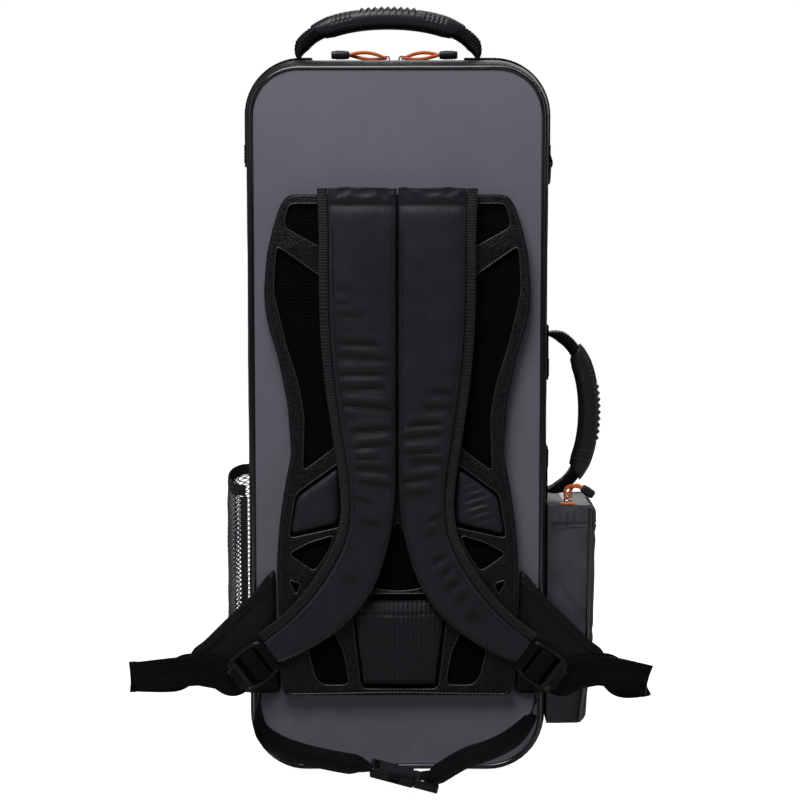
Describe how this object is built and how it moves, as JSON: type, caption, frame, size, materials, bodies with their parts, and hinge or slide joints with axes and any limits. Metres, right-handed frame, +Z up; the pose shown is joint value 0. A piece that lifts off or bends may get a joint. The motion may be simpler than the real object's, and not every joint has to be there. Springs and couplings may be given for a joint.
{
  "type": "alto saxophone case",
  "caption": "Upright rectangular zip-round alto saxophone case with two carry handles, side pockets and a padded backpack harness with hip wings and a waist belt.",
  "frame": {"origin": "on the flat bottom of the base half, in the middle of its width, 35 mm towards the harness from the seam", "axes": "+Z up along the case's height, +Y towards the lid, the harness faces -Y, +X to the right of someone facing the harness"},
  "size_m": [0.4724, 0.2479, 0.7028],
  "materials": {
    "black_nylon": "woven nylon, matt",
    "grey_nylon": "fine woven nylon with a slight sheen",
    "navy_nylon": "soft nylon, slight sheen",
    "webbing": "ribbed webbing",
    "mesh": "open knitted mesh",
    "piping": "smooth vinyl piping",
    "zip_tape": "zip tape",
    "plush": "plush over moulded foam",
    "rubber": "moulded rubber",
    "plastic": "moulded acetal",
    "orange_cord": "braided cord",
    "zip_metal": "nickel plated",
    "black_metal": "black painted steel"
  },
  "bodies": {
    "base": {"base_shell": "black_nylon", "back_panel": "grey_nylon", "back_piping": "piping", "base_zip": "zip_tape", "base_hinge_tape": "webbing", "hinge_bead": "webbing", "base_foam": "plush", "top_anchor_left": "webbing", "top_anchor_right": "webbing", "side_anchor_lower": "webbing", "side_anchor_upper": "webbing", "side_pocket_body": "grey_nylon", "side_pocket_piping": "piping", "side_pocket_zip": "zip_tape", "pocket_zip_garage": "orange_cord", "mesh_pocket_net": "mesh", "mesh_pocket_binding": "webbing", "upper_tab": "webbing", "lower_tab": "webbing", "harness_pad": "mesh", "harness_border": "black_nylon", "left_hip_pad": "navy_nylon", "right_hip_pad": "navy_nylon", "lumbar_pad": "navy_nylon", "left_wing": "black_nylon", "right_wing": "black_nylon", "left_strap_webbing": "webbing", "right_strap_webbing": "webbing", "left_waist_belt": "webbing", "right_waist_belt": "webbing", "waist_buckle_plug": "plastic"},
    "lid": {"lid_shell": "black_nylon", "lid_panel": "grey_nylon", "lid_piping": "piping", "lid_zip": "zip_tape", "lid_hinge_tape": "webbing", "lid_foam": "plush"},
    "left_slider": {"left_slider": "zip_metal"},
    "left_pull": {"left_pull_cord": "orange_cord", "left_pull_grip": "rubber"},
    "right_slider": {"right_slider": "zip_metal"},
    "right_pull": {"right_pull_cord": "orange_cord", "right_pull_grip": "rubber"},
    "top_handle": {"top_handle_strap": "webbing", "top_handle_grip": "rubber"},
    "side_handle": {"side_handle_strap": "webbing", "side_handle_grip": "rubber"},
    "pocket_slider": {"pocket_slider": "zip_metal"},
    "pocket_pull": {"pocket_pull_cord": "orange_cord", "pocket_pull_grip": "rubber"},
    "d_ring": {"upper_d_ring": "black_metal"},
    "left_strap": {"left_strap_pad": "navy_nylon", "left_strap_binding": "webbing", "left_lock_tab": "webbing", "left_ladder_lock": "plastic"},
    "right_strap": {"right_strap_pad": "navy_nylon", "right_strap_binding": "webbing", "right_lock_tab": "webbing", "right_ladder_lock": "plastic"},
    "buckle_socket": {"waist_buckle_socket": "plastic"}
  },
  "joints": [
    {"name": "lid_hinge", "type": "hinge", "parent": "base", "child": "lid", "pos_m": [-0.1389, 0.035, 0.3275], "axis": [0, 0, 1], "range_deg": [0, 140]},
    {"name": "left_slider_travel", "type": "slide", "parent": "base", "child": "left_slider", "axis": [-1, 0, 0], "range_m": [0, 0.07]},
    {"name": "left_pull_flip", "type": "hinge", "parent": "left_slider", "child": "left_pull", "pos_m": [-0.011, 0.035, 0.66012], "axis": [0, 1, 0], "range_deg": [0, 90]},
    {"name": "right_slider_travel", "type": "slide", "parent": "base", "child": "right_slider", "axis": [1, 0, 0], "range_m": [0, 0.07]},
    {"name": "right_pull_flip", "type": "hinge", "parent": "right_slider", "child": "right_pull", "pos_m": [0.005, 0.035, 0.66012], "axis": [0, -1, 0], "range_deg": [0, 90]},
    {"name": "top_handle_fold", "type": "hinge", "parent": "base", "child": "top_handle", "pos_m": [-0.0085, -0.0175, 0.6576], "axis": [1, 0, 0], "range_deg": [-40, 55], "stiffness_Nm_per_rad": 0.15, "deforming": ["top_handle_strap"]},
    {"name": "side_handle_fold", "type": "hinge", "parent": "base", "child": "side_handle", "pos_m": [0.1401, -0.0175, 0.3315], "axis": [0, 0, 1], "range_deg": [-55, 55], "stiffness_Nm_per_rad": 0.15, "deforming": ["side_handle_strap"]},
    {"name": "pocket_slider_travel", "type": "slide", "parent": "base", "child": "pocket_slider", "axis": [0, 1, 0], "range_m": [0, 0.05]},
    {"name": "pocket_pull_flip", "type": "hinge", "parent": "pocket_slider", "child": "pocket_pull", "pos_m": [0.1573, -0.042, 0.25512], "axis": [1, 0, 0], "range_deg": [-60, 25]},
    {"name": "d_ring_swing", "type": "hinge", "parent": "base", "child": "d_ring", "pos_m": [0.1412, 0.0125, 0.5605], "axis": [0, -1, 0], "range_deg": [0, 90]},
    {"name": "left_strap_swing", "type": "hinge", "parent": "base", "child": "left_strap", "pos_m": [-0.03085, -0.0837, 0.5278], "axis": [-1, 0, 0], "range_deg": [0, 25], "deforming": ["left_strap_webbing"]},
    {"name": "right_strap_swing", "type": "hinge", "parent": "base", "child": "right_strap", "pos_m": [0.03085, -0.0837, 0.5278], "axis": [-1, 0, 0], "range_deg": [0, 25], "deforming": ["right_strap_webbing"]},
    {"name": "buckle_release", "type": "slide", "parent": "base", "child": "buckle_socket", "axis": [-0.9659, 0, 0.2588], "range_m": [0, 0.026], "deforming": ["left_waist_belt"]}
  ]
}
